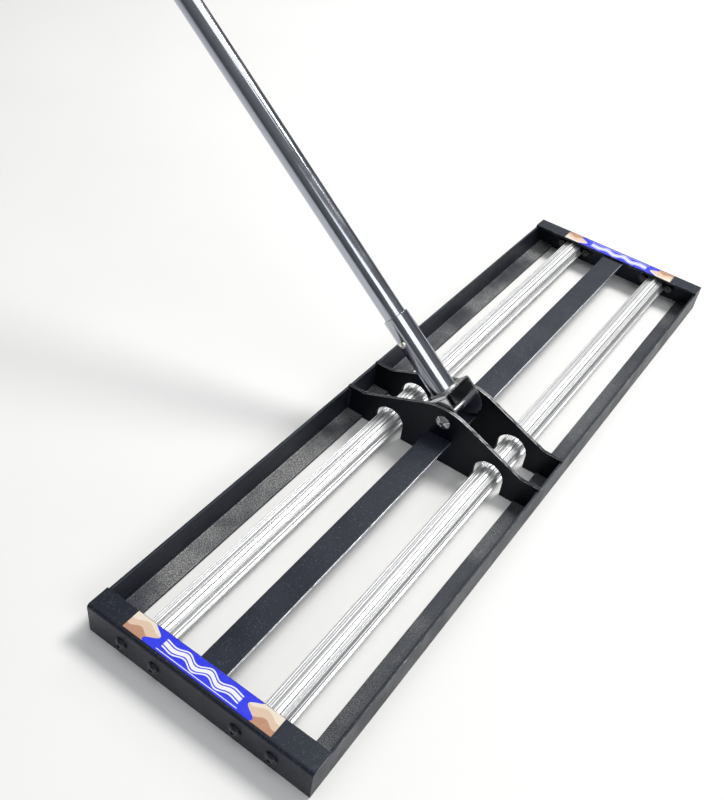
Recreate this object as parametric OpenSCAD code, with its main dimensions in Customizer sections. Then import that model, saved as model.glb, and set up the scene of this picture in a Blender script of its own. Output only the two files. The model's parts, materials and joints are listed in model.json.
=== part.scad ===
// Drag rake for levelling lawn dressing: a flat steel frame, two fluted
// aluminium rollers and a tubular handle that tilts on one cross bolt.
// X runs along the frame, Y across it and Z up. The origin is on the ground
// plane, under the middle of the frame.

/* [Frame] */
// Length of the frame along X
frame_l = 914.4; // [800:0.1:1100]
// Width of the frame along Y
frame_w = 254; // [246:1:280]
// Height of the end plates
end_h = 38; // [38:0.5:42]
// Thickness of the end plates and the rails
steel_t = 3; // [2.5:0.25:3.5]
// Width of the top flange of an end plate
flange_w = 25; // [22:1:30]
// Outer radius of the bend along an end plate
bend_r = 4; // [3.5:0.25:5]
// Width of the rails' bottom legs
leg_w = 25; // [20:1:26]
// Width of the flat centre bar
bar_w = 30; // [26:1:34]
// Thickness of the flat centre bar
bar_t = 3; // [2.5:0.5:3]

/* [Handle bracket] */
// Thickness of a bracket plate
plate_t = 4; // [3:0.5:5]
// Clear gap between the two bracket plates
bracket_gap = 52; // [51:0.5:56]
// X of the middle of the gap
bracket_x = 27; // [-60:0.5:60]
// Height of the ears that sit over the rails
ear_h = 37; // [36.5:0.5:39]
// Width of the level ear at each end of a plate
ear_w = 24; // [20:1:28]
// Height of the crown above the ground
crown_h = 75; // [74:0.5:80]
// Radius of the crown
crown_r = 70; // [60:1:80]
// Height of the handle's pivot
pivot_h = 56.6; // [56:0.1:58]

/* [Rollers] */
// Distance of a roller from the frame's centre line
rod_y = 66; // [60:1:70]
// Height of a roller's axis
rod_h = 18; // [17:0.5:19]
// Radius over the ribs
rod_r = 15; // [14:0.25:15]
// Radius of the lands between the ribs
land_r = 12.75; // [12.5:0.25:13.5]
// Number of ribs
rib_count = 8; // [6:1:10]
// Width of a rib at its top
rib_w = 1.8; // [1.5:0.1:3]
// Radius of the arch that a roller passes through
arch_r = 18.5; // [18:0.25:19]
// Distance of a seat's bolts from the roller's axis
seat_bolt_y = 19.5; // [19:0.25:20]

/* [Handle] */
// Lean of the handle from upright
rest_tilt = 50; // [0:1:85]
// Outer radius of the poles
pole_r = 12.7; // [12.5:0.1:13]
// Wall of the poles
pole_wall = 1; // [0.8:0.1:1.2]
// Outer radius of the socket
socket_r = 15; // [14.8:0.1:15.5]
// Distance from the pivot to the socket's rim
socket_top = 126; // [115:1:140]
// Exposed length of one pole section
section_l = 540; // [400:10:600]
// Outer length of the yoke along X
yoke_l = 50; // [48:0.5:50]
// Width of the yoke
yoke_w = 39; // [36:0.5:40]
// Distance from the pivot to the outside of the yoke's web
yoke_h = 26; // [24:0.5:27]
// Thickness of the yoke
yoke_t = 2; // [1.5:0.25:3]
// Length of the grip
grip_l = 180; // [120:10:240]

/* [Labels] */
// Length of a label
label_l = 167; // [120:1:180]
// Width of a label
label_w = 20; // [16:0.5:20]

/* [Hidden] */

$fn = 96;
slip = 0.05;
eps = 0.01;
hex_sides = 6;

black_steel = "#1c1d20";
bare_aluminium = "#d4d7da";
stainless = "#b9bcc4";
zinc = "#8d8f92";
dark_zinc = "#4a4b4e";
black_rubber = "#17181a";
nylon_white = "#d9d8d2";
label_blue = "#2b34d8";

// Frame
rail_h = end_h - steel_t;
half_l = frame_l / 2;
half_w = frame_w / 2;
web_x = half_l - steel_t;
bend_inner_r = bend_r - steel_t;
bar_top = rail_h;

// Bracket plates
plate_x = bracket_gap / 2;
plate_span = half_w - steel_t;
ear_overhang = 0.5;
flank_y = half_w - ear_w;
crown_rise = crown_h - ear_h;
// Slope of the flanks that run tangent to the crown
flank_a = 2 * atan((flank_y - sqrt(pow(flank_y, 2)
    - crown_rise * (2 * crown_r - crown_rise))) / (2 * crown_r - crown_rise));
slot_gap = 0.3;
leg_notch = 0.5;

// Pivot
bolt_r = 4;
bolt_hole_r = 4.2;
bolt_head_r = 9;
bolt_head_h = 4.5;
bolt_key_r = 2.9;
bolt_tail = 2;
sleeve_r = 5;
washer_r = 8.5;
washer_t = 1.5;
thrust_t = 0.8;
nut_af = 13;
nut_h = 8;
nut_collar_h = 3;

// Rollers and their seats
axle_r = 8;
axle_fit = 0.02;
axle_grip = 30;
seat_t = 4;
seat_depth = 12;
boss_r = 12.5;
bush_r = 10;
seat_r = 14;
seat_lug_r = 6.5;
roller_float = 0.7;
roller_end = web_x - seat_depth - roller_float;
axle_end = web_x - 1;
groove_depth = 0.8;
rib_chamfer = 0.3;
rib_flare = 0.35;
groove_half_a = 3.6;
m6_r = 3;
m6_hole_r = 3.3;
m6_head_r = 5.5;
m6_head_h = 3.3;
m6_key_r = 2.3;
m6_washer_r = 6.5;
m6_washer_t = 1.2;
m6_nut_af = 10;
m6_nut_h = 5;
m6_tail = 1.5;
recess_depth = 1.6;

// Handle, measured along the pole from the pivot
socket_wall = 2.1;
pole_foot = 36;
joint_1 = socket_top + section_l;
joint_2 = joint_1 + section_l;
pole_end = joint_2 + section_l;
swage_r = pole_r - pole_wall - 0.15;
swage_l = 60;
swage_taper = 6;
button_r = 3.9;
button_hole_r = 4.1;
button_height = 95;
button_drop = 30;
button_land = 0.8;
button_stand = 3.5;
foot_r = 5;
foot_t = 1.2;
foot_gap = 0.2;
strip_t = 0.8;
strip_w = 9.4;
strip_tail = 7;
strip_drop = 30;
strip_hole_r = 4;
strip_inset = 1.3;
grip_r = 16;
grip_groove = 1;
grip_rings = 12;
cap_r = 15;
cap_h = 6;
cap_plug = 20;
weld_leg = 3;

// Labels
label_t = 0.3;
label_edge = 0.5;
label_shift = 3.5;

// ---- Shared shapes -------------------------------------------------------

function polar(r, a) = [r * cos(a), r * sin(a)];

function arc(c, r, a0, a1, n) =
    [for (i = [0:n]) c + polar(r, a0 + (a1 - a0) * i / n)];

// A solid rod along X, from x0 to x1
module x_rod(r, x0, x1) {
    translate([x0, 0, 0]) rotate([0, 90, 0]) cylinder(r = r, h = x1 - x0);
}

// Places its children in the leaning handle: Z runs along the pole from the pivot
module on_handle() {
    translate([bracket_x, 0, pivot_h]) rotate([rest_tilt, 0, 0]) children();
}

// Places its children at one seat, with +X pointing out of the frame
module at_seat(end, side) {
    translate([0, side * rod_y, rod_h]) mirror([end < 0 ? 1 : 0, 0, 0]) children();
}

module at_seat_bolts(end) {
    for (side = [-1, 1], lug = [-1, 1])
        at_seat(end, side) translate([0, lug * seat_bolt_y, 0]) children();
}

// A fillet of weld: a quarter-hollow section, h long, in the corner of +X and +Y
module fillet(leg, h) {
    linear_extrude(h) polygon(concat([[0, 0]],
        arc([leg, leg], leg * 0.9, 270, 180, 6)));
}

// ---- Frame ---------------------------------------------------------------

// Section of an end plate: the web stands outside and the flange turns inward
module end_plate_section() {
    polygon(concat(
        [[web_x, 0], [half_l, 0]],
        arc([half_l - bend_r, end_h - bend_r], bend_r, 0, 90, 12),
        [[half_l - flange_w, end_h], [half_l - flange_w, rail_h]],
        arc([web_x - bend_inner_r, rail_h - bend_inner_r], bend_inner_r, 90, 0, 6)));
}

module end_plate(end) {
    color(black_steel) mirror([end < 0 ? 1 : 0, 0, 0]) difference() {
        translate([0, half_w, 0]) rotate([90, 0, 0])
            linear_extrude(frame_w) end_plate_section();
        for (side = [-1, 1], lug = [-1, 1])
            translate([0, side * rod_y + lug * seat_bolt_y, rod_h])
                x_rod(m6_hole_r, web_x - 1, half_l + 1);
    }
}

module end_plate_right() {
    end_plate(1);
}

module end_plate_left() {
    end_plate(-1);
}

// Section of a rail in Y and Z: an angle with its bottom leg turned inward
module rail_section() {
    root_r = 2;
    toe_r = 1;
    polygon(concat(
        [[half_w, 0], [half_w, rail_h]],
        arc([half_w - steel_t + toe_r, rail_h - toe_r], toe_r, 90, 180, 4),
        arc([half_w - steel_t - root_r, steel_t + root_r], root_r, 0, -90, 6),
        arc([half_w - leg_w + toe_r, steel_t - toe_r], toe_r, 90, 180, 4),
        [[half_w - leg_w, 0]]));
}

module rail(side) {
    color(black_steel) mirror([0, side < 0 ? 1 : 0, 0])
        translate([-web_x, 0, 0]) rotate([90, 0, 90])
            linear_extrude(2 * web_x) rail_section();
}

module front_rail() {
    rail(1);
}

module rear_rail() {
    rail(-1);
}

module centre_bar() {
    color(black_steel) translate([-web_x, -bar_w / 2, bar_top - bar_t])
        cube([2 * web_x, bar_w, bar_t]);
}

// Upper edge of a bracket plate from the +Y ear over the crown to the -Y ear
function plate_top() = concat(
    [[half_w - ear_overhang, ear_h], [flank_y, ear_h]],
    arc([0, crown_h - crown_r], crown_r, 90 - flank_a, 90 + flank_a, 24),
    [[-flank_y, ear_h], [-half_w + ear_overhang, ear_h]]);

module plate_outline() {
    notch_y = half_w - leg_w - leg_notch;
    notch_top = steel_t;
    polygon(concat(
        plate_top(),
        [[-half_w + ear_overhang, rail_h], [-plate_span, rail_h],
         [-plate_span, notch_top], [-notch_y, notch_top], [-notch_y, 0],
         [notch_y, 0], [notch_y, notch_top], [plate_span, notch_top],
         [plate_span, rail_h], [half_w - ear_overhang, rail_h]]));
}

// A bracket plate: arches clear the rollers, a slot takes the centre bar
module bracket_plate(end) {
    inner_x = bracket_x + end * plate_x - (end < 0 ? plate_t : 0);
    color(black_steel) difference() {
        translate([inner_x, 0, 0]) rotate([90, 0, 90])
            linear_extrude(plate_t) plate_outline();
        for (side = [-1, 1]) {
            translate([0, side * rod_y, rod_h])
                x_rod(arch_r, inner_x - 1, inner_x + plate_t + 1);
            translate([inner_x - 1, side * rod_y - arch_r, -1])
                cube([plate_t + 2, 2 * arch_r, rod_h + 1]);
        }
        translate([inner_x - 1, -bar_w / 2 - slot_gap, bar_top - bar_t - slot_gap])
            cube([plate_t + 2, bar_w + 2 * slot_gap, bar_t + 2 * slot_gap]);
        translate([0, 0, pivot_h]) x_rod(bolt_hole_r, inner_x - 1, inner_x + plate_t + 1);
    }
}

module bracket_plate_right() {
    bracket_plate(1);
}

module bracket_plate_left() {
    bracket_plate(-1);
}

// Upright fillets where the rails meet the end plates, and along the bar's ends
module frame_welds() {
    rail_weld_h = rail_h - steel_t - 4;
    color(black_steel) for (end = [0, 1], side = [0, 1])
        mirror([end, 0, 0]) mirror([0, side, 0]) {
            translate([web_x, half_w - steel_t, steel_t + 2.5]) rotate([0, 0, 180])
                fillet(weld_leg, rail_weld_h - 2.5);
            translate([web_x, bar_w / 2, bar_top - bar_t]) rotate([0, 0, 90])
                fillet(weld_leg - 0.5, bar_t - bend_inner_r);
        }
}

// Upright fillets where the bracket plates meet the rails
module bracket_welds() {
    foot = steel_t + 2.5;
    color(black_steel) translate([bracket_x, 0, 0]) for (end = [0, 1], side = [0, 1])
        mirror([end, 0, 0]) mirror([0, side, 0])
            translate([plate_x + plate_t, plate_span, foot])
                rotate([0, 0, -90]) fillet(weld_leg, rail_h - foot - 2);
}

// ---- Rollers -------------------------------------------------------------

// One rib, the land after it and the fine groove along the land's middle
function flute(a0) =
    let (
        pitch = 360 / rib_count,
        top_a = asin(rib_w / 2 / rod_r),
        root_a = asin((rib_w / 2 + rib_flare) / land_r),
        mid = a0 + pitch / 2
    ) concat(
        [polar(land_r, a0 - root_a), polar(rod_r - rib_chamfer, a0 - top_a)],
        arc([0, 0], rod_r, a0 - top_a * 0.7, a0 + top_a * 0.7, 2),
        [polar(rod_r - rib_chamfer, a0 + top_a)],
        arc([0, 0], land_r, a0 + root_a, mid - groove_half_a, 4),
        [polar(land_r - groove_depth, mid)],
        arc([0, 0], land_r, mid + groove_half_a, a0 + pitch - root_a - 2, 4));

module roller(side) {
    color(bare_aluminium) translate([0, side * rod_y, rod_h]) difference() {
        translate([-roller_end, 0, 0]) rotate([90, 0, 90])
            linear_extrude(2 * roller_end)
                polygon([for (i = [0:rib_count - 1]) each flute(i * 360 / rib_count)]);
        x_rod(axle_r + axle_fit, -roller_end - 1, roller_end + 1);
    }
}

module roller_front() {
    roller(1);
}

module roller_rear() {
    roller(-1);
}

// A stub axle pressed into one end of a roller's bore
module axle(end, side) {
    color(zinc) at_seat(end, side) difference() {
        x_rod(axle_r, roller_end - axle_grip, axle_end);
        translate([axle_end, 0, 0]) rotate([0, 90, 0])
            translate([0, 0, -4]) cylinder(r1 = 0, r2 = 4 + eps, h = 4 + eps);
    }
}

module axle_front_right() {
    axle(1, 1);
}

module axle_front_left() {
    axle(-1, 1);
}

module axle_rear_right() {
    axle(1, -1);
}

module axle_rear_left() {
    axle(-1, -1);
}

// A two-bolt flange with a boss, bolted inside an end plate
module seat(end, side) {
    color(black_steel) at_seat(end, side) difference() {
        union() {
            translate([web_x - seat_t, 0, 0]) rotate([90, 0, 90]) linear_extrude(seat_t) {
                circle(seat_r);
                square([2 * seat_bolt_y, 2 * seat_lug_r], center = true);
                for (lug = [-1, 1]) translate([lug * seat_bolt_y, 0]) circle(seat_lug_r);
            }
            x_rod(boss_r, web_x - seat_depth, web_x - seat_t + eps);
        }
        x_rod(bush_r, web_x - seat_depth - 1, web_x + 1);
        for (lug = [-1, 1]) translate([0, lug * seat_bolt_y, 0])
            x_rod(m6_hole_r, web_x - seat_t - 1, web_x + 1);
    }
}

module seat_front_right() {
    seat(1, 1);
}

module seat_front_left() {
    seat(-1, 1);
}

module seat_rear_right() {
    seat(1, -1);
}

module seat_rear_left() {
    seat(-1, -1);
}

module bush(end, side) {
    color(nylon_white) at_seat(end, side) difference() {
        x_rod(bush_r - axle_fit, web_x - seat_depth, web_x - slip);
        x_rod(axle_r + slip, web_x - seat_depth - 1, web_x + 1);
    }
}

module bush_front_right() {
    bush(1, 1);
}

module bush_front_left() {
    bush(-1, 1);
}

module bush_rear_right() {
    bush(1, -1);
}

module bush_rear_left() {
    bush(-1, -1);
}

// Half section of a dome: radius r at its foot, h high, on a rim of the given height
function dome_points(r, h, rim, n) =
    let (
        rise = h - rim,
        dome_r = (r * r + rise * rise) / (2 * rise)
    ) arc([0, h - dome_r], dome_r, acos(r / dome_r), 90, n);

// Bolt along X with a domed head on +X; the head's flat face lies at x = 0
module dome_bolt(shank_r, shank_l, r, h, key_r) {
    rotate([0, 90, 0]) difference() {
        rotate_extrude() polygon(concat(
            [[0, -shank_l], [shank_r - 0.5, -shank_l], [shank_r, 0.5 - shank_l],
             [shank_r, 0], [r, 0]],
            dome_points(r, h, 0.4, 6)));
        translate([0, 0, h - recess_depth])
            cylinder(r = key_r, h = recess_depth + 1, $fn = hex_sides);
    }
}

module seat_bolts() {
    shank_l = m6_washer_t + steel_t + seat_t + m6_nut_h + m6_tail;
    color(dark_zinc) for (end = [-1, 1]) at_seat_bolts(end)
        translate([half_l + m6_washer_t, 0, 0])
            dome_bolt(m6_r, shank_l, m6_head_r, m6_head_h, m6_key_r);
}

module seat_washers() {
    color(zinc) for (end = [-1, 1]) at_seat_bolts(end) difference() {
        x_rod(m6_washer_r, half_l, half_l + m6_washer_t);
        x_rod(m6_hole_r, half_l - 1, half_l + m6_washer_t + 1);
    }
}

module seat_nuts() {
    nut_x = web_x - seat_t - m6_nut_h;
    color(zinc) for (end = [-1, 1]) at_seat_bolts(end) difference() {
        translate([nut_x, 0, 0]) rotate([0, 90, 0])
            cylinder(d = m6_nut_af / cos(30), h = m6_nut_h, $fn = hex_sides);
        x_rod(m6_r + axle_fit, nut_x - 1, nut_x + m6_nut_h + 1);
    }
}

// ---- Pivot ---------------------------------------------------------------

module pivot_bolt() {
    shank_l = bracket_gap + 2 * plate_t + washer_t + nut_h + bolt_tail;
    color(stainless) translate([bracket_x + plate_x + plate_t, 0, pivot_h])
        dome_bolt(bolt_r, shank_l, bolt_head_r, bolt_head_h, bolt_key_r);
}

module pivot_washer() {
    face_x = bracket_x - plate_x - plate_t;
    color(zinc) translate([0, 0, pivot_h]) difference() {
        x_rod(washer_r, face_x - washer_t, face_x);
        x_rod(bolt_hole_r, face_x - washer_t - 1, face_x + 1);
    }
}

// Lock nut with a round collar on its outer side
module pivot_nut() {
    face_x = bracket_x - plate_x - plate_t - washer_t;
    color(zinc) translate([0, 0, pivot_h]) difference() {
        union() {
            translate([face_x - nut_h + nut_collar_h, 0, 0]) rotate([0, 90, 0])
                cylinder(d = nut_af / cos(30), h = nut_h - nut_collar_h, $fn = hex_sides);
            x_rod(nut_af / 2 - 0.5, face_x - nut_h, face_x - nut_h + nut_collar_h + eps);
        }
        x_rod(bolt_r + axle_fit, face_x - nut_h - 1, face_x + 1);
    }
}

// Thin washers between the yoke and the bracket plates
module thrust_washers() {
    gap = (bracket_gap - yoke_l) / 2;
    inset = (gap - thrust_t) / 2;
    color(nylon_white) for (end = [0, 1])
        translate([bracket_x, 0, pivot_h]) mirror([end, 0, 0]) difference() {
            x_rod(washer_r, yoke_l / 2 + inset, yoke_l / 2 + inset + thrust_t);
            x_rod(bolt_r + slip, yoke_l / 2 - 1, plate_x + 1);
        }
}

// ---- Handle --------------------------------------------------------------

// Channel section of the yoke, open towards the frame
module channel_section() {
    outer_r = 4;
    inner_r = outer_r - yoke_t;
    half = yoke_l / 2;
    inner = half - yoke_t;
    foot = -yoke_w / 2 - 1;
    polygon(concat(
        [[half, foot]],
        arc([half - outer_r, yoke_h - outer_r], outer_r, 0, 90, 8),
        arc([outer_r - half, yoke_h - outer_r], outer_r, 90, 180, 8),
        [[-half, foot], [-inner, foot]],
        arc([inner_r - inner, yoke_h - yoke_t - inner_r], inner_r, 180, 90, 6),
        arc([inner - inner_r, yoke_h - yoke_t - inner_r], inner_r, 90, 0, 6),
        [[inner, foot]]));
}

module yoke() {
    color(stainless) on_handle() difference() {
        intersection() {
            translate([0, yoke_w / 2, 0]) rotate([90, 0, 0])
                linear_extrude(yoke_w) channel_section();
            union() {
                x_rod(yoke_w / 2, -yoke_l, yoke_l);
                translate([-yoke_l, -yoke_w / 2, 0]) cube([2 * yoke_l, yoke_w, yoke_h + 1]);
            }
        }
        x_rod(sleeve_r + axle_fit, -yoke_l, yoke_l);
    }
}

// The tube that turns on the pivot bolt, welded through both cheeks of the yoke
module pivot_sleeve() {
    color(stainless) on_handle() difference() {
        x_rod(sleeve_r, -yoke_l / 2, yoke_l / 2);
        x_rod(bolt_r + slip, -yoke_l, yoke_l);
    }
}

module handle_socket() {
    rim = 0.4;
    bore_r = socket_r - socket_wall;
    color(stainless) on_handle() difference() {
        rotate_extrude() polygon([
            [bore_r, yoke_h], [socket_r, yoke_h], [socket_r, socket_top - rim],
            [socket_r - rim, socket_top], [bore_r, socket_top]]);
        translate([0, 0, button_height]) x_rod(button_hole_r, -yoke_l, yoke_l);
    }
}

module socket_weld() {
    color(stainless) on_handle() rotate_extrude()
        polygon(concat([[socket_r, yoke_h]],
            arc([socket_r + weld_leg, yoke_h + weld_leg], weld_leg * 0.9, 270, 180, 8)));
}

// Button holes of a pole, right through along X
module button_holes(heights) {
    for (h = heights) translate([0, 0, h]) x_rod(button_hole_r, -yoke_l, yoke_l);
}

// A plain or swaged tube; the swaged neck reaches down into the section below
module pole(foot, top, swaged) {
    inner_r = pole_r - pole_wall;
    neck_in = swage_r - pole_wall;
    outline = swaged
        ? [[neck_in, foot - swage_l], [swage_r, foot - swage_l], [swage_r, foot],
           [pole_r, foot + eps], [pole_r, top], [inner_r, top],
           [inner_r, foot + swage_taper], [neck_in, foot]]
        : [[inner_r, foot], [pole_r, foot], [pole_r, top], [inner_r, top]];
    rotate_extrude() polygon(outline);
}

module pole_lower() {
    color(stainless) on_handle() difference() {
        pole(pole_foot, joint_1, false);
        button_holes([button_height, joint_1 - button_drop]);
    }
}

module pole_middle() {
    color(stainless) on_handle() difference() {
        pole(joint_1, joint_2, true);
        button_holes([joint_1 - button_drop, joint_2 - button_drop]);
    }
}

module pole_upper() {
    color(stainless) on_handle() difference() {
        pole(joint_2, pole_end, true);
        button_holes([joint_2 - button_drop]);
    }
}

// Hairpin spring strip inside a pole; its legs carry the two buttons
module hairpin(height, tube_r) {
    leg = tube_r - strip_inset - strip_t;
    bend = height - strip_drop;
    difference() {
        translate([0, strip_w / 2, 0]) rotate([90, 0, 0]) linear_extrude(strip_w)
            polygon(concat(
                [[leg + strip_t, height + strip_tail]],
                [[leg, height + strip_tail]],
                arc([0, bend], leg, 0, -180, 16),
                [[-leg, height + strip_tail], [-leg - strip_t, height + strip_tail]],
                arc([0, bend], leg + strip_t, 180, 360, 16)));
        translate([0, 0, height]) x_rod(strip_hole_r, -yoke_l, yoke_l);
    }
}

module socket_spring() {
    color(zinc) on_handle() hairpin(button_height, pole_r - pole_wall);
}

module lower_spring() {
    color(zinc) on_handle() hairpin(joint_1 - button_drop, swage_r - pole_wall);
}

module upper_spring() {
    color(zinc) on_handle() hairpin(joint_2 - button_drop, swage_r - pole_wall);
}

// A domed push button that locks two tubes; side is +1 or -1 along X
module snap_button(height, tube_r, shell_r, stand, side) {
    foot_face = tube_r - strip_inset - strip_t - foot_gap;
    color(stainless) on_handle() translate([0, 0, height])
        mirror([side < 0 ? 1 : 0, 0, 0]) {
            rotate([0, 90, 0]) rotate_extrude() polygon(concat(
                [[0, foot_face - foot_t], [foot_r, foot_face - foot_t],
                 [foot_r, foot_face], [button_r, foot_face]],
                dome_points(button_r, shell_r + stand, shell_r + button_land, 6)));
        }
}

module socket_button_right() {
    snap_button(button_height, pole_r - pole_wall, socket_r, button_stand, 1);
}

module socket_button_left() {
    snap_button(button_height, pole_r - pole_wall, socket_r, button_stand, -1);
}

module lower_button_right() {
    snap_button(joint_1 - button_drop, swage_r - pole_wall, pole_r, button_stand - 0.5, 1);
}

module lower_button_left() {
    snap_button(joint_1 - button_drop, swage_r - pole_wall, pole_r, button_stand - 0.5, -1);
}

module upper_button_right() {
    snap_button(joint_2 - button_drop, swage_r - pole_wall, pole_r, button_stand - 0.5, 1);
}

module upper_button_left() {
    snap_button(joint_2 - button_drop, swage_r - pole_wall, pole_r, button_stand - 0.5, -1);
}

// Rubber grip with shallow rings between two plain collars
module grip() {
    foot = pole_end - grip_l;
    ring_pitch = (grip_l - 40) / grip_rings;
    rings = [for (i = [0:grip_rings - 1])
        let (h = foot + 20 + i * ring_pitch) each [
            [grip_r, h], [grip_r - grip_groove, h + ring_pitch * 0.2],
            [grip_r - grip_groove, h + ring_pitch * 0.35], [grip_r, h + ring_pitch * 0.55]]];
    color(black_rubber) on_handle() rotate_extrude() polygon(concat(
        [[pole_r + slip, foot], [grip_r - 1, foot], [grip_r, foot + 1]],
        rings,
        [[grip_r, pole_end - 1], [grip_r - 1, pole_end], [pole_r + slip, pole_end]]));
}

module end_cap() {
    plug_r = pole_r - pole_wall - slip;
    color(black_rubber) on_handle() rotate_extrude() polygon(concat(
        [[0, pole_end - cap_plug], [plug_r, pole_end - cap_plug], [plug_r, pole_end],
         [cap_r, pole_end]],
        arc([cap_r - 4, pole_end + cap_h - 4], 4, 0, 90, 8),
        [[0, pole_end + cap_h]]));
}

// ---- Labels --------------------------------------------------------------

module label(end) {
    outer_x = half_l - bend_r - label_edge;
    color(label_blue) mirror([end < 0 ? 1 : 0, 0, 0])
        translate([outer_x - label_w, -label_l / 2 - end * label_shift, end_h])
            cube([label_w, label_l, label_t]);
}

module label_right() {
    label(1);
}

module label_left() {
    label(-1);
}

end_plate_right();
end_plate_left();
front_rail();
rear_rail();
centre_bar();
bracket_plate_right();
bracket_plate_left();
frame_welds();
bracket_welds();
roller_front();
roller_rear();
axle_front_right();
axle_front_left();
axle_rear_right();
axle_rear_left();
seat_front_right();
seat_front_left();
seat_rear_right();
seat_rear_left();
bush_front_right();
bush_front_left();
bush_rear_right();
bush_rear_left();
seat_bolts();
seat_washers();
seat_nuts();
pivot_bolt();
pivot_nut();
pivot_washer();
thrust_washers();
yoke();
pivot_sleeve();
handle_socket();
socket_weld();
pole_lower();
pole_middle();
pole_upper();
socket_spring();
lower_spring();
upper_spring();
socket_button_right();
socket_button_left();
lower_button_right();
lower_button_left();
upper_button_right();
upper_button_left();
grip();
end_cap();
label_right();
label_left();
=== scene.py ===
import json
import math

import bmesh
import bpy
from mathutils import Matrix, Vector


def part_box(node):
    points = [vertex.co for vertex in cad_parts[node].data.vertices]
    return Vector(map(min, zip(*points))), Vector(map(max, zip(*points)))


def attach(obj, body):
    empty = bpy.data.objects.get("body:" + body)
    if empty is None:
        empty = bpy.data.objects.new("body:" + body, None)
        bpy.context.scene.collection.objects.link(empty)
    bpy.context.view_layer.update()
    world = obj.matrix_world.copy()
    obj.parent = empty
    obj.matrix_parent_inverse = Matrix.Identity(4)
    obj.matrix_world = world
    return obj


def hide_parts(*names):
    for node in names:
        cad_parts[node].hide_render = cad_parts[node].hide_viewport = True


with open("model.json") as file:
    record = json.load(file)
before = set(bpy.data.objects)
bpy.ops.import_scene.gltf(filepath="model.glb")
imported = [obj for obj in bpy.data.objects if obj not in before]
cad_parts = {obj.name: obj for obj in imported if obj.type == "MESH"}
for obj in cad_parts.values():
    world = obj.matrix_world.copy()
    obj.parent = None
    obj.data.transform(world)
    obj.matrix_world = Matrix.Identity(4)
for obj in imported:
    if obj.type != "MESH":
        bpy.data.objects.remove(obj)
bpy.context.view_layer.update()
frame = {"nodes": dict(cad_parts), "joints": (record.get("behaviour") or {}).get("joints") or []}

MM = 0.001
UP = Vector((0, 0, 1))


# ---- The object's own dimensions -----------------------------------------

def joint_place(name):
    return next(Vector(joint["pos_m"]) for joint in frame["joints"] if joint["name"] == name)


# How far the handle leans from upright, towards -Y
TILT = math.radians(50)
# The middle of the cross bolt
PIVOT = joint_place("handle_tilt")
# Radius of a roller over its ribs, and between them
ROD_R = 15.0 * MM
FLUTE_R = 12.75 * MM
# Radius of the handle's socket, and how far over the pivot it stands on the yoke
SOCKET_R = 15.0 * MM
YOKE_TOP = 26.0 * MM
# Thickness of the frame's steel, and the frame's height
STEEL_T = 3.0 * MM
FRAME_TOP = 38.0 * MM
# The centre bar's edge on the +Y side
BAR_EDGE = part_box("centre_bar")[1][1]
# The four roller ends, as the nodes there are named
CORNERS = ["front_right", "front_left", "rear_right", "rear_left"]


# ---- Camera --------------------------------------------------------------

# The camera's place, and the ways in which the picture's right and down run
CAMERA_PLACE = Vector((0.76507, 0.29461, 0.75297))
PICTURE_RIGHT = Vector((-0.57186, 0.81301, 0.10951))
PICTURE_DOWN = Vector((0.50165, 0.45219, -0.73748))
# The width of its sensor and its focal length, in millimetres
SENSOR_WIDTH = 36.0
LENS = 42.05


def make_camera():
    data = bpy.data.cameras.new("camera")
    camera = bpy.data.objects.new("camera", data)
    bpy.context.scene.collection.objects.link(camera)
    data.sensor_width = SENSOR_WIDTH
    data.lens = LENS
    data.clip_start = 0.02
    data.clip_end = 60.0
    right = PICTURE_RIGHT.normalized()
    down = (PICTURE_DOWN - PICTURE_DOWN.dot(right) * right).normalized()
    forward = right.cross(down)
    turn = Matrix((right, -down, -forward)).transposed()
    camera.matrix_world = Matrix.Translation(CAMERA_PLACE) @ turn.to_4x4()
    bpy.context.scene.camera = camera


make_camera()


# ---- Helpers -------------------------------------------------------------

def new_object(name, mesh):
    obj = bpy.data.objects.new(name, mesh)
    bpy.context.scene.collection.objects.link(obj)
    return obj


def brighter(colour, factor):
    """A colour times a factor, held at white."""
    return tuple(min(1.0, channel * factor) for channel in colour)


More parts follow.
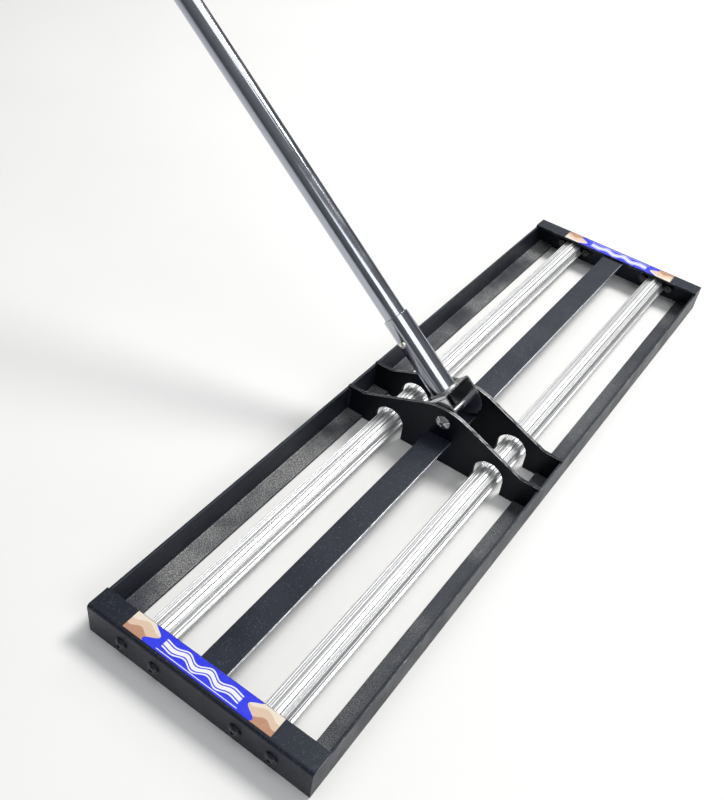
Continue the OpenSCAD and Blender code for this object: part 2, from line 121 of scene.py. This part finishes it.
class Graph:
    """A material's node tree, with the few calls that the materials below share."""

    def __init__(self, name):
        self.material = bpy.data.materials.new(name)
        self.material.use_nodes = True
        self.tree = self.material.node_tree
        self.tree.nodes.clear()
        self.out = self.tree.nodes.new("ShaderNodeOutputMaterial")
        self.shader = self.tree.nodes.new("ShaderNodeBsdfPrincipled")
        self.tree.links.new(self.shader.outputs[0], self.out.inputs["Surface"])

    def put(self, socket, value):
        """Links another node's socket to a socket, or sets the value there."""
        if isinstance(value, bpy.types.NodeSocket):
            self.tree.links.new(value, socket)
        elif isinstance(value, (tuple, list)) and len(value) == 3 and socket.type == "RGBA":
            socket.default_value = (*value, 1.0)
        else:
            socket.default_value = value

    def node(self, kind, inputs=None, **settings):
        """Adds a node; inputs holds values or sockets under an input's name or number."""
        made = self.tree.nodes.new("ShaderNode" + kind)
        for key, value in settings.items():
            setattr(made, key, value)
        for key, value in (inputs or {}).items():
            self.put(made.inputs[key], value)
        return made

    def set(self, **values):
        """Sets the shader's sockets, named with _ for each space."""
        for key, value in values.items():
            self.put(self.shader.inputs[key.replace("_", " ")], value)

    def place(self):
        """The place on the object, in metres in the object's own frame."""
        return self.node("TexCoord").outputs["Object"]

    def math(self, operation, a, b=0.0):
        return self.node("Math", {0: a, 1: b}, operation=operation).outputs[0]

    def times(self, a, b):
        return self.math("MULTIPLY", a, b)

    def minus(self, a, b):
        return self.math("SUBTRACT", a, b)

    def larger(self, a, b):
        return self.math("MAXIMUM", a, b)

    def stretch(self, vector, scale, turn=(0.0, 0.0, 0.0)):
        """A place turned and then scaled: noise on it is drawn out along the small scales."""
        turned = self.node("Mapping", {"Vector": vector, "Rotation": turn})
        return self.node("Mapping", {"Vector": turned.outputs[0], "Scale": scale}).outputs[0]

    def noise(self, vector, scale, detail=3.0, rough=0.55):
        """Cloudy noise from 0 to 1, with about scale blobs to the metre."""
        made = self.node("TexNoise", {"Vector": vector, "Scale": scale, "Detail": detail,
                                      "Roughness": rough})
        return made.outputs[0]

    def cells(self, vector, scale):
        """Distance from the middle of the nearest cell, with about scale cells to the metre."""
        return self.node("TexVoronoi", {"Vector": vector, "Scale": scale}).outputs["Distance"]

    def ramp(self, value, low, high, to_low=0.0, to_high=1.0):
        """An even S curve from to_low at low to to_high at high; low may be the larger one."""
        made = self.node("MapRange", {"Value": value, "From Min": low, "From Max": high,
                                      "To Min": to_low, "To Max": to_high},
                         interpolation_type="SMOOTHSTEP")
        return made.outputs[0]

    def mix(self, share, a, b):
        """Colour a, or b where the share is 1."""
        made = self.node("Mix", data_type="RGBA", blend_type="MIX")
        self.put(made.inputs[0], share)
        self.put(made.inputs[6], a)
        self.put(made.inputs[7], b)
        return made.outputs[2]

    def blend(self, share, a, b):
        """Number a, or b where the share is 1."""
        made = self.node("Mix", data_type="FLOAT")
        self.put(made.inputs[0], share)
        self.put(made.inputs[2], a)
        self.put(made.inputs[3], b)
        return made.outputs[0]

    def axes(self, vector):
        return self.node("SeparateXYZ", {0: vector}).outputs

    def facing_up(self, low, high):
        """1 where the surface faces up, falling to 0 as it turns away."""
        return self.ramp(self.axes(self.node("NewGeometry").outputs["Normal"])[2], low, high)

    def bump(self, height, strength, distance, under=None):
        inputs = {"Height": height, "Strength": strength, "Distance": distance}
        if under is not None:
            inputs["Normal"] = under
        return self.node("Bump", inputs).outputs[0]

    def soft_edge(self, radius):
        """A normal that rounds the sharp edges to a radius."""
        return self.node("Bevel", {"Radius": radius}, samples=6).outputs[0]

    def edge_mask(self, radius, low=0.02, high=0.16):
        """1 on the object's sharp edges, falling to 0 within the radius."""
        normal = self.node("NewGeometry").outputs["Normal"]
        soft = self.node("Bevel", {"Radius": radius}, samples=8).outputs[0]
        dot = self.node("VectorMath", {0: soft, 1: normal}, operation="DOT_PRODUCT")
        return self.ramp(self.minus(1.0, dot.outputs["Value"]), low, high)


# ---- Materials -----------------------------------------------------------

def floor_paper():
    g = Graph("floor_paper")
    tone = g.noise(g.place(), 3.0, 4.0)
    g.set(Base_Color=g.mix(tone, (0.84, 0.84, 0.83), (0.89, 0.89, 0.88)),
          Roughness=g.ramp(tone, 0.3, 0.7, 0.75, 0.9),
          Specular_IOR_Level=0.2)
    return g.material


def rubbed_and_lit_rim(g, at, z, height):
    """Where a plate's upper rim is rubbed to unpainted steel above a height, on its upward faces:
    partly wear, partly a painted highlight.
    """
    high_up = g.times(g.facing_up(0.3, 0.6), g.ramp(z, height - 1.5 * MM, height + 3.0 * MM))
    ragged = g.ramp(g.noise(g.stretch(at, (3.0, 1.0, 1.0)), 120.0, 4.0, 0.7), 0.38, 0.50)
    rim = g.larger(g.edge_mask(1.3 * MM, 0.01, 0.10), 0.25)
    return g.times(high_up, g.times(ragged, rim))


def worn_and_lit_edge(g, at, y, edge):
    """Where the long edge that lies at y = edge is worn bright: partly wear, partly a painted
    highlight.
    """
    inward = -1.0 if edge > 0 else 1.0
    near = g.ramp(g.times(g.minus(y, edge), inward), 0.9 * MM, 0.3 * MM)
    ragged = g.ramp(g.noise(g.stretch(at, (1.0, 3.0, 3.0)), 160.0, 4.0, 0.7), 0.33, 0.46)
    return g.times(near, ragged)


def dust_and_painted_light(g, at, z, height):
    """Where a dusty grey lies with painted light: in patches on what faces up, under a height; the
    patches are partly dirt and partly painted sunlight.
    """
    up_and_low = g.times(g.facing_up(0.5, 0.9), g.ramp(z, height + 1.0 * MM, height))
    specks = g.ramp(g.noise(at, 1050.0, 3.0, 0.6), 0.40, 0.60)
    patches = g.ramp(g.noise(at, 8.0, 3.0), 0.40, 0.60, 0.18, 1.0)
    return g.times(up_and_low, g.times(specks, patches))


def powder_coat(name, worn_lit_edge_y=None, dust_and_light_below=None, dust_and_light=0.9, rubbed_lit_above=None, wear=0.5,
                painted_glint_share=0.32, tone=(0.009, 0.011, 0.018), gloss=0.36):
    """Fine-textured black powder coat with painted glints, worn to unpainted steel on its edges.
    worn_lit_edge_y names a long edge that is worn bright with a painted highlight, rubbed_lit_above
    the height over which the upward upper rims are rubbed and carry a painted highlight, and
    dust_and_light_below the height under which a dusty grey with painted light lies, dust how much of
    it there is, and glitter how strong the painted glints are."""
    g = Graph(name)
    at = g.place()
    y, z = g.axes(at)[1:3]
    cloud = g.noise(at, 24.0, 4.0)
    grain = g.noise(at, 1500.0, 2.0, 0.5)
    orange_peel = g.noise(at, 420.0, 2.0, 0.5)
    # Painted glints: small light grey specks in the colour stand in for light glancing off the
    # textured coat
    glint_cells = g.ramp(g.cells(at, 760.0), 0.30, 0.12)
    painted_glint = g.times(glint_cells, g.ramp(g.noise(at, 330.0, 1.0), 0.46, 0.62))
    scuffs = g.ramp(g.noise(g.stretch(at, (30.0, 260.0, 260.0)), 1.0, 4.0, 0.7), 0.66, 0.78)
    colour = g.mix(cloud, tone, brighter(tone, 1.55))
    # The painted glints are mixed into the colour here
    colour = g.mix(g.times(painted_glint, painted_glint_share), colour, (0.40, 0.41, 0.45))
    colour = g.mix(g.times(scuffs, 0.22), colour, (0.20, 0.20, 0.21))
    rough = g.blend(g.times(scuffs, 0.5), g.ramp(cloud, 0.3, 0.7, 0.36, 0.50), 0.6)
    chips = g.ramp(g.noise(at, 90.0, 4.0, 0.65), 0.62 - 0.3 * wear, 0.74 - 0.2 * wear)
    # Unpainted steel: the chips on all edges are wear; the rubbed upper rims and the worn long edge
    # are partly a painted highlight
    bare_and_lit = g.times(g.edge_mask(0.5 * MM), chips)
    if rubbed_lit_above is not None:
        bare_and_lit = g.larger(bare_and_lit, rubbed_and_lit_rim(g, at, z, rubbed_lit_above))
    if worn_lit_edge_y is not None:
        bare_and_lit = g.larger(bare_and_lit, worn_and_lit_edge(g, at, y, worn_lit_edge_y))
    # Dusty grey with painted light: bright patches on the low upward faces stand in for sunlight on
    # the rails' lower legs
    if dust_and_light_below is not None:
        colour = g.mix(g.times(dust_and_painted_light(g, at, z, dust_and_light_below), dust_and_light), colour, (0.42, 0.42, 0.41))
    skin = g.bump(orange_peel, 0.25, 0.15 * MM, g.soft_edge(0.45 * MM))
    g.set(Base_Color=g.mix(bare_and_lit, colour, (0.62, 0.62, 0.63)),
          Metallic=bare_and_lit,
          Roughness=g.blend(bare_and_lit, rough, 0.3),
          Specular_IOR_Level=gloss,
          Specular_Tint=(0.84, 0.91, 1.0),
          Normal=g.bump(grain, 0.45, 0.12 * MM, skin))
    return g.material


def roller_aluminium(name, axis):
    """Extruded aluminium: fine lines along X, painted shade on the rib flanks and in the grooves, and
    dirt with painted shade in the rib roots.
    axis is a point on the roller's own axis."""
    g = Graph(name)
    at = g.place()
    y, z = g.axes(at)[1:3]
    across, above = g.minus(y, axis.y), g.minus(z, axis.z)
    radius = g.math("SQRT", g.math("ADD", g.times(across, across), g.times(above, above)))
    lines = g.noise(g.stretch(at, (2.0, 520.0, 520.0)), 1.0, 1.0, 0.5)
    bands = g.noise(g.stretch(at, (1.5, 160.0, 160.0)), 1.0, 2.0, 0.5)
    dull = g.ramp(g.noise(at, 34.0, 5.0, 0.6), 0.52, 0.72)
    # Painted shade: the rib roots, the grooves and the rib flanks are darkened in the colour, with
    # some dirt in the roots
    root = g.ramp(radius, FLUTE_R + 0.35 * MM, FLUTE_R - 0.15 * MM)
    groove = g.ramp(radius, FLUTE_R - 0.09 * MM, FLUTE_R - 0.35 * MM)
    flank = g.times(g.ramp(radius, FLUTE_R + 0.15 * MM, FLUTE_R + 0.35 * MM),
                    g.ramp(radius, ROD_R - 0.4 * MM, ROD_R - 0.6 * MM))
    dirt_and_shade = g.times(root, g.ramp(g.noise(at, 120.0, 4.0), 0.25, 0.7, 0.55, 1.0))
    shade = g.larger(g.times(groove, 0.8), g.times(flank, 0.55))
    colour = g.mix(bands, (0.86, 0.87, 0.88), (0.96, 0.965, 0.97))
    colour = g.mix(g.times(dirt_and_shade, 0.10), colour, (0.30, 0.31, 0.31))
    colour = g.mix(shade, colour, (0.13, 0.135, 0.14))
    colour = g.mix(g.times(dull, 0.20), colour, (0.66, 0.66, 0.65))
    rough = g.ramp(lines, 0.3, 0.7, 0.34, 0.46)
    g.set(Base_Color=colour,
          Metallic=0.72,
          Roughness=g.blend(g.times(dull, 0.6), rough, 0.5),
          Normal=g.bump(lines, 0.06, 0.04 * MM, g.soft_edge(0.25 * MM)))
    return g.material


def polished_tube(name, tone=(0.42, 0.44, 0.49), rough_low=0.10, rough_high=0.22):
    """Polished stainless with faint rings from grinding and hairline scratches along it."""
    g = Graph(name)
    at = g.place()
    lean = (-TILT, 0.0, 0.0)
    rings = g.noise(g.stretch(at, (45.0, 45.0, 2600.0), turn=lean), 1.0, 2.0)
    hairs = g.noise(g.stretch(at, (1800.0, 1800.0, 16.0), turn=lean), 1.0, 2.0)
    smear = g.noise(at, 26.0, 4.0, 0.6)
    marks = g.ramp(hairs, 0.66, 0.74)
    rough = g.ramp(smear, 0.3, 0.75, rough_low, rough_high)
    scratched = g.bump(hairs, 0.04, 0.03 * MM, g.soft_edge(0.3 * MM))
    g.set(Base_Color=g.mix(smear, tone, brighter(tone, 1.12)),
          Metallic=1.0,
          Roughness=g.blend(g.times(marks, 0.5), rough, 0.36),
          Normal=g.bump(rings, 0.06, 0.03 * MM, scratched))
    return g.material


def plated(name, tone, rough=0.34, spots=0.3):
    """Zinc plate or dark plate: crystalline mottling with small dull spots."""
    g = Graph(name)
    at = g.place()
    grain = g.axes(g.node("TexVoronoi", {"Vector": at, "Scale": 900.0}).outputs["Color"])[0]
    cloud = g.noise(at, 260.0, 4.0, 0.6)
    spot = g.ramp(g.noise(at, 700.0, 3.0), 0.62, 0.70)
    colour = g.mix(grain, brighter(tone, 0.82), brighter(tone, 1.15))
    g.set(Base_Color=g.mix(g.times(spot, spots), colour, brighter(tone, 0.4)),
          Metallic=1.0,
          Roughness=g.ramp(cloud, 0.3, 0.7, rough - 0.08, rough + 0.10),
          Normal=g.bump(cloud, 0.12, 0.05 * MM, g.soft_edge(0.25 * MM)))
    return g.material


def moulded(name, tone, rough, grain_scale, strength):
    """Moulded rubber or nylon with a fine pebbled skin and scuffed high spots."""
    g = Graph(name)
    at = g.place()
    pebble = g.cells(at, grain_scale)
    cloud = g.noise(at, 60.0, 4.0, 0.6)
    scuff = g.times(g.edge_mask(0.8 * MM), g.ramp(cloud, 0.4, 0.6))
    colour = g.mix(cloud, tone, brighter(tone, 1.5))
    g.set(Base_Color=g.mix(g.times(scuff, 0.5), colour, brighter(tone, 3.0)),
          Roughness=g.ramp(cloud, 0.3, 0.7, rough - 0.08, rough + 0.08),
          Normal=g.bump(pebble, strength, 0.12 * MM, g.soft_edge(0.4 * MM)))
    return g.material


# The label's pattern, in millimetres up from its foot and along it from its middle.
# The height and half width of each white wave, and the length of its swell
WAVES = ((6.6, 0.7), (10.4, 1.9), (14.2, 0.7))
WAVE_LENGTH = 27.0
WAVE_END = 44.0
# The hairline along the foot
HAIRLINE_HEIGHT = 2.1
HAIRLINE_END = 46.0
# The farthest dune is cream; the height, swing, pitch and colour of each one before it
CREAM = (0.82, 0.72, 0.60)
DUNES = ((14.5, 2.5, 0.21, (0.72, 0.54, 0.40)), (7.5, 2.2, 0.29, (0.50, 0.27, 0.17)))
DUNES_START = 56.0


def white_waves(g, colour, along, far, up):
    """Three white waves, one over the other, that swell less towards the label's ends."""
    swell = g.times(g.math("SINE", g.times(along, 2 * math.pi / WAVE_LENGTH)),
                    g.ramp(far, 46.0, 10.0, 0.6, 2.6))
    for height, half_width in WAVES:
        off = g.math("ABSOLUTE", g.minus(g.minus(up, height), swell))
        line = g.times(g.ramp(off, half_width + 0.15, half_width - 0.15),
                       g.ramp(far, WAVE_END, WAVE_END - 1.0))
        colour = g.mix(line, colour, (0.86, 0.86, 0.90))
    return colour


def sand_ends(g, colour, far, up):
    """Sand-coloured ends: flat dunes, one behind the other, behind a curved shore."""
    curve = g.math("SINE", g.math("ADD", g.times(up, 0.33), 0.8))
    shore = g.math("ADD", DUNES_START, g.times(6.0, curve))
    sand = CREAM
    for height, swing, pitch, shade in DUNES:
        crest = g.math("ADD", height, g.times(swing, g.math("SINE", g.times(far, pitch))))
        sand = g.mix(g.ramp(g.minus(crest, up), -0.15, 0.15), sand, shade)
    return g.mix(g.ramp(g.minus(far, shore), -0.15, 0.15), colour, sand)


def label_film(name, node):
    """A glossy blue strip with white waves along it and sand-coloured ends. The pattern's foot
    is the edge that lies farther out on the object."""
    low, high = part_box(node)
    outward = 1.0 if high[0] > 0 else -1.0
    foot = max(abs(low[0]), abs(high[0]))
    g = Graph(name)
    at = g.place()
    x, y = g.axes(at)[0:2]
    along = g.times(g.minus(y, (low[1] + high[1]) / 2), outward / MM)
    up = g.minus(foot / MM, g.times(x, outward / MM))
    far = g.math("ABSOLUTE", along)
    colour = g.mix(g.noise(at, 40.0, 3.0), (0.022, 0.034, 0.72), (0.030, 0.045, 0.84))
    colour = white_waves(g, colour, along, far, up)
    hairline = g.times(g.ramp(g.math("ABSOLUTE", g.minus(up, HAIRLINE_HEIGHT)), 0.5, 0.3),
                       g.ramp(far, HAIRLINE_END, HAIRLINE_END - 1.0))
    colour = g.mix(hairline, colour, (0.80, 0.78, 0.90))
    g.set(Base_Color=sand_ends(g, colour, far, up),
          Roughness=g.ramp(g.noise(at, 90.0, 3.0), 0.3, 0.7, 0.20, 0.34),
          Coat_Weight=0.5,
          Coat_Roughness=0.12,
          Normal=g.bump(g.noise(at, 130.0, 2.0), 0.05, 0.1 * MM))
    return g.material


def dress(nodes, material):
    """Gives CAD nodes a material on all their slots."""
    for name in nodes:
        mesh = frame["nodes"][name].data
        if not mesh.materials:
            mesh.materials.append(material)
        for i in range(len(mesh.materials)):
            mesh.materials[i] = material


def dress_frame(coat):
    # Just over the rails' lower legs, where the dusty grey and the painted light lie
    ledge = STEEL_T + 0.2 * MM
    dress(["end_plate_right", "end_plate_left"] + ["seat_" + c for c in CORNERS], coat)
    dress(["rear_rail"], powder_coat("coat_rear_rail", dust_and_light_below=ledge, wear=0.6))
    # The front rail gets less of the dusty grey and painted light, as its lower leg stands in shade
    dress(["front_rail"], powder_coat("coat_front_rail", dust_and_light_below=ledge, wear=0.6, dust_and_light=0.35))
    dress(["centre_bar"], powder_coat("coat_bar", worn_lit_edge_y=BAR_EDGE, wear=0.5))
    # The bracket plates get a darker copy of the coat with fewer painted glints: painted shade, as
    # their faces stand in shade
    dress(["bracket_plate_right", "bracket_plate_left"],
          powder_coat("coat_bracket", rubbed_lit_above=FRAME_TOP, wear=0.95, painted_glint_share=0.06,
                      tone=(0.004, 0.005, 0.008), gloss=0.20))
    dress(["label_right"], label_film("film_right", "label_right"))
    dress(["label_left"], label_film("film_left", "label_left"))


def dress_rollers():
    for side in ("front", "rear"):
        axis = joint_place("roller_" + side + "_roll")
        dress(["roller_" + side], roller_aluminium("aluminium_" + side, axis))


def dress_fasteners():
    dress(["axle_" + c for c in CORNERS] + ["pivot_nut", "pivot_washer"],
          plated("zinc_plate", (0.56, 0.57, 0.58)))
    dress(["seat_bolts", "seat_washers", "seat_nuts"],
          plated("dark_plate", (0.075, 0.077, 0.085)))
    dress(["bush_" + c for c in CORNERS] + ["thrust_washers"],
          moulded("nylon", (0.62, 0.60, 0.53), 0.45, 900.0, 0.15))


def dress_handle():
    dress(["pole_lower", "pole_middle", "pole_upper", "handle_socket"],
          polished_tube("stainless_tube"))
    dress(["yoke", "pivot_sleeve", "pivot_bolt"],
          polished_tube("stainless_sheet", tone=(0.62, 0.625, 0.64), rough_low=0.16,
                        rough_high=0.32))
    dress([n for n in frame["nodes"] if "_button_" in n],
          polished_tube("button_steel", tone=(0.80, 0.77, 0.66), rough_low=0.26,
                        rough_high=0.38))
    dress([n for n in frame["nodes"] if n.endswith("_spring")],
          plated("spring_strip", (0.38, 0.38, 0.39)))
    dress(["grip", "end_cap"], moulded("grip_rubber", (0.018, 0.018, 0.02), 0.6, 700.0, 0.5))


frame_coat = powder_coat("coat_frame", wear=0.5)
dress_frame(frame_coat)
dress_rollers()
dress_fasteners()
dress_handle()


# ---- Weld beads ----------------------------------------------------------

def smooth(mesh):
    for polygon in mesh.polygons:
        polygon.use_smooth = True
    return mesh


def square_to(along):
    """Two directions at right angles to a path, the first one level unless the path is upright."""
    side = along.orthogonal() if abs(along.z) >= 0.9 else along.cross(UP)
    side.normalize()
    return side, along.cross(side)


def bead(name, path, radius, closed=False, sides=10, ripple=0.16, pitch=1.6 * MM):
    """A rippled bead of weld along a path of points; each step of the path is one ring."""
    bm = bmesh.new()
    rings = []
    count = len(path)
    run = 0.0
    for i, at in enumerate(path):
        before = path[(i - 1) % count] if closed or i else path[0]
        after = path[(i + 1) % count] if closed or i < count - 1 else path[-1]
        side, other = square_to((after - before).normalized())
        if i:
            run += (at - path[i - 1]).length
        wave = 1.0 - ripple * (run / pitch % 1.0)
        # An open bead narrows over the two rings at each end
        end = 1.0 if closed else min(1.0, (min(i, count - 1 - i) + 0.6) / 2.6)
        size = radius * wave * math.sqrt(end)
        rings.append([bm.verts.new(at + size * (math.cos(a) * side + math.sin(a) * other))
                      for a in (2 * math.pi * k / sides for k in range(sides))])
    for i in range(count if closed else count - 1):
        ring, following = rings[i], rings[(i + 1) % count]
        for k in range(sides):
            j = (k + 1) % sides
            bm.faces.new((ring[k], ring[j], following[j], following[k]))
    if not closed:
        bm.faces.new(rings[0][::-1])
        bm.faces.new(rings[-1])
    bmesh.ops.recalc_face_normals(bm, faces=bm.faces)
    mesh = bpy.data.meshes.new(name)
    bm.to_mesh(mesh)
    bm.free()
    return smooth(mesh)


def join(name, meshes):
    bm = bmesh.new()
    for mesh in meshes:
        bm.from_mesh(mesh)
    joined = bpy.data.meshes.new(name)
    bm.to_mesh(joined)
    bm.free()
    return smooth(joined)


def straight(start, end, step=0.4 * MM):
    """The points of a straight path, about a step apart."""
    start, end = Vector(start), Vector(end)
    count = max(4, round((end - start).length / step))
    return [start.lerp(end, i / count) for i in range(count + 1)]


def upright(x, y, low, high):
    return straight((x, y, low), (x, y, high))


def on_handle(point):
    """A point given in the handle's own frame: Z runs along the pole from the pivot."""
    return PIVOT + Matrix.Rotation(TILT, 3, "X") @ Vector(point)


def make_socket_weld():
    """The bead all round the foot of the socket, on top of the yoke."""
    rings = 220
    radius, height = SOCKET_R + 0.6 * MM, YOKE_TOP + 0.3 * MM
    path = [on_handle((radius * math.cos(a), radius * math.sin(a), height))
            for a in (2 * math.pi * i / rings for i in range(rings))]
    piece = new_object("socket_bead", bead("socket_bead", path, 1.5 * MM, closed=True, ripple=0.10,
                                            pitch=1.3 * MM))
    piece.data.materials.append(polished_tube("weld_steel", tone=(0.44, 0.43, 0.42),
                                              rough_low=0.34, rough_high=0.5))
    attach(piece, "handle")
    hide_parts("socket_weld")


def make_frame_welds():
    """Beads where the rails and the bar meet the end plates, and the bracket plates the rails."""
    rail_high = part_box("front_rail")[1]
    inner_x, inner_y = rail_high[0], rail_high[1] - STEEL_T
    bar_low, bar_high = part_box("centre_bar")
    plate_faces = {-1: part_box("bracket_plate_left")[0][0], 1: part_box("bracket_plate_right")[1][0]}
    rails, bars, plates = [], [], []
    for sx in (-1, 1):
        for sy in (-1, 1):
            corner = upright(sx * (inner_x - 1.0 * MM), sy * (inner_y - 1.0 * MM), 6 * MM, 31 * MM)
            rails.append(bead("run", corner, 2.0 * MM))
            edge = upright(sx * (inner_x - 0.6 * MM), sy * (BAR_EDGE + 0.6 * MM),
                           bar_low[2] - 0.2 * MM, bar_high[2] - 0.4 * MM)
            bars.append(bead("run", edge, 1.6 * MM))
            foot = upright(plate_faces[sx] + sx * 0.9 * MM, sy * (inner_y - 0.9 * MM),
                           6 * MM, 33 * MM)
            plates.append(bead("run", foot, 1.9 * MM))
    for name, meshes, node in (("frame_beads", rails + bars, "frame_welds"),
                               ("bracket_beads", plates, "bracket_welds")):
        piece = new_object(name, join(name, meshes))
        piece.data.materials.append(frame_coat)
        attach(piece, "frame")
        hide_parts(node)


make_socket_weld()
make_frame_welds()


# ---- Stage ---------------------------------------------------------------

# Half the floor's width, and how far it lies under the object so that the two don't coincide
FLOOR_HALF = 14.0
FLOOR_DROP = 0.0002
# What every light points at
AIM = Vector((0.0, 0.0, 0.05))
# The name, place, size, watts and colour of each light
LIGHTS = (
    ("key", (-1.9, 0.8, 3.3), (1.2, 1.2), 118.0, (1.0, 0.985, 0.96)),
    ("fill", (1.2, 2.6, 2.4), (2.4, 1.4), 26.0, (0.93, 0.96, 1.0)),
    ("side", (-2.6, -0.9, 2.3), (1.6, 1.0), 16.0, (1.0, 1.0, 1.0)),
    ("top", (0.3, 0.2, 3.4), (3.0, 1.2), 22.0, (1.0, 1.0, 1.0)),
)


def area_light(name, place, size, watts, colour):
    data = bpy.data.lights.new(name, "AREA")
    data.shape = "RECTANGLE"
    data.size, data.size_y = size
    data.energy = watts
    data.color = colour
    light = new_object(name, data)
    light.location = place
    light.rotation_mode = "QUATERNION"
    light.rotation_quaternion = (AIM - Vector(place)).to_track_quat("-Z", "Y")


def make_floor():
    mesh = bpy.data.meshes.new("floor")
    half = FLOOR_HALF
    mesh.from_pydata([(-half, -half, 0), (half, -half, 0), (half, half, 0), (-half, half, 0)],
                     [], [(0, 1, 2, 3)])
    floor = new_object("floor", mesh)
    floor.location.z = -FLOOR_DROP
    mesh.materials.append(floor_paper())


def make_world():
    """A sky that is brighter overhead than at the horizon."""
    world = bpy.data.worlds.new("world")
    world.use_nodes = True
    tree = world.node_tree
    sky = tree.nodes["Background"]
    coords = tree.nodes.new("ShaderNodeTexCoord")
    split = tree.nodes.new("ShaderNodeSeparateXYZ")
    ramp = tree.nodes.new("ShaderNodeValToRGB")
    tree.links.new(coords.outputs["Generated"], split.inputs[0])
    tree.links.new(split.outputs[2], ramp.inputs[0])
    tree.links.new(ramp.outputs[0], sky.inputs["Color"])
    horizon, overhead = ramp.color_ramp.elements
    horizon.color = (0.30, 0.31, 0.33, 1.0)
    overhead.color = (0.95, 0.97, 1.0, 1.0)
    sky.inputs["Strength"].default_value = 0.30
    bpy.context.scene.world = world


def make_stage():
    make_floor()
    for light in LIGHTS:
        area_light(*light)
    make_world()
    bpy.context.scene.view_settings.view_transform = "Standard"


make_stage()
